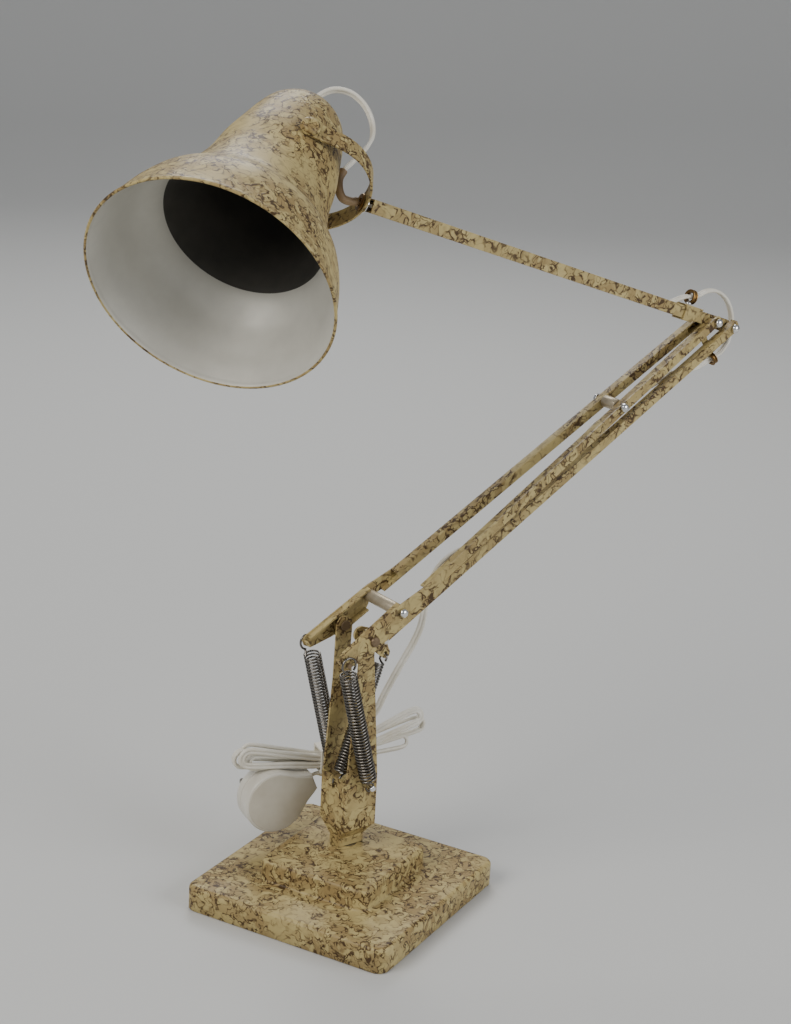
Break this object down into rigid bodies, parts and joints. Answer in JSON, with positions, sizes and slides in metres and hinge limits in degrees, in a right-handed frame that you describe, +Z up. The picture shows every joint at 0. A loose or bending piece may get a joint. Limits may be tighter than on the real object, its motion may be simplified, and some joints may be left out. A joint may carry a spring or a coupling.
{
  "type": "architect desk lamp",
  "caption": "Desk lamp with a stepped square base, a swivelling fork, a spring-balanced parallelogram arm and a tilting spun shade, with its cord and plug",
  "frame": {"origin": "underside of the base, on the axis that the fork swivels about", "axes": "+Z up; +X from the fork towards the elbow in the plane of the arm; +Y to the left of that"},
  "size_m": [0.5179, 0.1952, 0.5333],
  "materials": {
    "cream_paint": "cream paint scumbled with brown veins, satin",
    "shade_paint": "spun aluminium, cream paint scumbled with brown veins outside, satin silver inside",
    "chrome": "polished",
    "steel": "plain steel, lightly aged",
    "spring_steel": "dark oiled spring wire",
    "spacer_tube": "drawn tube, warm satin",
    "brass": "aged brass",
    "cast_iron": "as cast",
    "felt": "wool felt",
    "white_flex": "white twin flex, slightly yellowed",
    "brown_sleeve": "brown insulating sleeve",
    "plug_plastic": "aged ivory moulding",
    "black_bakelite": "black moulding"
  },
  "bodies": {
    "base": {"base_cover": "cream_paint", "base_weight": "cast_iron", "base_felt": "felt", "swivel_bush": "steel"},
    "fork": {"fork": "cream_paint", "spindle": "steel", "spindle_washer": "steel", "spindle_nut": "steel", "anchor_pin_right": "chrome", "anchor_pin_left": "chrome", "pivot_pin_right": "steel", "pivot_pin_left": "steel", "link_spring_lower": "spring_steel", "cord_hank": "white_flex", "cord_tie": "white_flex", "cord_tail": "white_flex", "plug": "plug_plastic"},
    "lower_arm": {"arm_rail_right": "cream_paint", "arm_rail_left": "cream_paint", "spacer_1": "spacer_tube", "spacer_2": "spacer_tube", "spacer_bolt_1": "chrome", "spacer_bolt_2": "chrome", "spacer_nut_1": "chrome", "spacer_nut_2": "chrome", "elbow_bolt": "chrome", "elbow_nut": "chrome", "guide_strip": "cream_paint", "guide_ring_lower": "brass", "cord_rail_run": "white_flex", "cord_drop": "white_flex"},
    "crank": {"crank": "cream_paint", "crank_pin": "chrome"},
    "link": {"parallel_link": "cream_paint"},
    "upper_arm": {"upper_arm_tube": "cream_paint", "elbow_bracket": "cream_paint", "link_pin": "chrome", "guide_ring_upper": "brass", "guide_screw": "chrome", "cord_arm_run": "white_flex", "cord_elbow_loop": "white_flex"},
    "yoke": {"yoke": "cream_paint", "swivel_eyelet": "brass", "swivel_washer": "chrome", "tilt_boss_front": "cream_paint", "tilt_boss_rear": "cream_paint", "cord_sleeve": "brown_sleeve"},
    "shade": {"shade": "shade_paint", "cord_gland": "brass", "lampholder": "black_bakelite", "holder_ring": "black_bakelite", "cord_head_loop": "white_flex"},
    "spring_right": {"arm_spring_right": "spring_steel"},
    "spring_right_hook": {"arm_spring_right_hook": "spring_steel"},
    "spring_left": {"arm_spring_left": "spring_steel"},
    "spring_left_hook": {"arm_spring_left_hook": "spring_steel"},
    "link_spring_middle": {"link_spring_upper": "spring_steel"},
    "link_spring_top": {"link_spring_hook": "spring_steel"}
  },
  "joints": [
    {"name": "swivel", "type": "hinge", "parent": "base", "child": "fork", "pos_m": [0, 0, 0.033], "axis": [0, 0, 1], "continuous": true},
    {"name": "shoulder", "type": "hinge", "parent": "fork", "child": "lower_arm", "pos_m": [0, 0, 0.1857], "axis": [0, -1, 0], "range_deg": [-20, 40], "deforming": ["cord_drop", "link_spring_lower"]},
    {"name": "elbow", "type": "hinge", "parent": "lower_arm", "child": "upper_arm", "pos_m": [0.29715, 0, 0.36354], "axis": [0, 1, 0], "range_deg": [-17, 36], "deforming": ["cord_elbow_loop"]},
    {"name": "crank_pivot", "type": "hinge", "parent": "lower_arm", "child": "crank", "pos_m": [0, 0, 0.1857], "axis": [0, 1, 0], "range_deg": [-19, 38]},
    {"name": "link_pivot", "type": "hinge", "parent": "crank", "child": "link", "pos_m": [0.01408, 0, 0.18092], "axis": [0, 1, 0], "range_deg": [-38, 19]},
    {"name": "head_swivel", "type": "hinge", "parent": "upper_arm", "child": "yoke", "pos_m": [-0.01, 0, 0.4677], "axis": [-0.8827, 0.2899, 0.3699], "range_deg": [-60, 60]},
    {"name": "tilt", "type": "hinge", "parent": "yoke", "child": "shade", "pos_m": [-0.06208, 0.0171, 0.48952], "axis": [0.0523, -0.7216, 0.6904], "range_deg": [-20, 45], "deforming": ["cord_head_loop", "cord_sleeve"]},
    {"name": "spring_right_swing", "type": "hinge", "parent": "fork", "child": "spring_right", "pos_m": [0.0022, -0.0205, 0.0813], "axis": [0, -1, 0], "range_deg": [-6.1, 6.1], "deforming": ["arm_spring_right", "arm_spring_right_hook"]},
    {"name": "spring_right_stretch", "type": "slide", "parent": "spring_right", "child": "spring_right_hook", "axis": [-0.2495, 0, 0.9684], "range_m": [-0.03, 0.03]},
    {"name": "spring_left_swing", "type": "hinge", "parent": "fork", "child": "spring_left", "pos_m": [0.0022, 0.0205, 0.0813], "axis": [0, -1, 0], "range_deg": [-6.1, 6.1], "deforming": ["arm_spring_left", "arm_spring_left_hook"]},
    {"name": "spring_left_stretch", "type": "slide", "parent": "spring_left", "child": "spring_left_hook", "axis": [-0.2495, 0, 0.9684], "range_m": [-0.03, 0.03]},
    {"name": "link_spring_lift", "type": "slide", "parent": "fork", "child": "link_spring_middle", "axis": [0.3202, 0, 0.9473], "range_m": [-0.04, 0.04], "deforming": ["link_spring_upper"]},
    {"name": "link_spring_stretch", "type": "slide", "parent": "link_spring_middle", "child": "link_spring_top", "axis": [0.3202, 0, 0.9473], "range_m": [-0.04, 0.04], "deforming": ["link_spring_hook"]}
  ],
  "couplings": [
    {"joint": "crank_pivot", "follows": "elbow", "ratio": 1},
    {"joint": "link_pivot", "follows": "elbow", "ratio": -1},
    {"joint": "spring_right_swing", "follows": "shoulder", "ratio": -0.1217},
    {"joint": "spring_right_stretch", "follows": "shoulder", "m_per_rad": -0.02127},
    {"joint": "spring_left_swing", "follows": "shoulder", "ratio": -0.1217},
    {"joint": "spring_left_stretch", "follows": "shoulder", "m_per_rad": -0.02127},
    {"joint": "link_spring_lift", "follows": "shoulder", "m_per_rad": 0.021539},
    {"joint": "link_spring_stretch", "follows": "elbow", "m_per_rad": -0.021539}
  ]
}
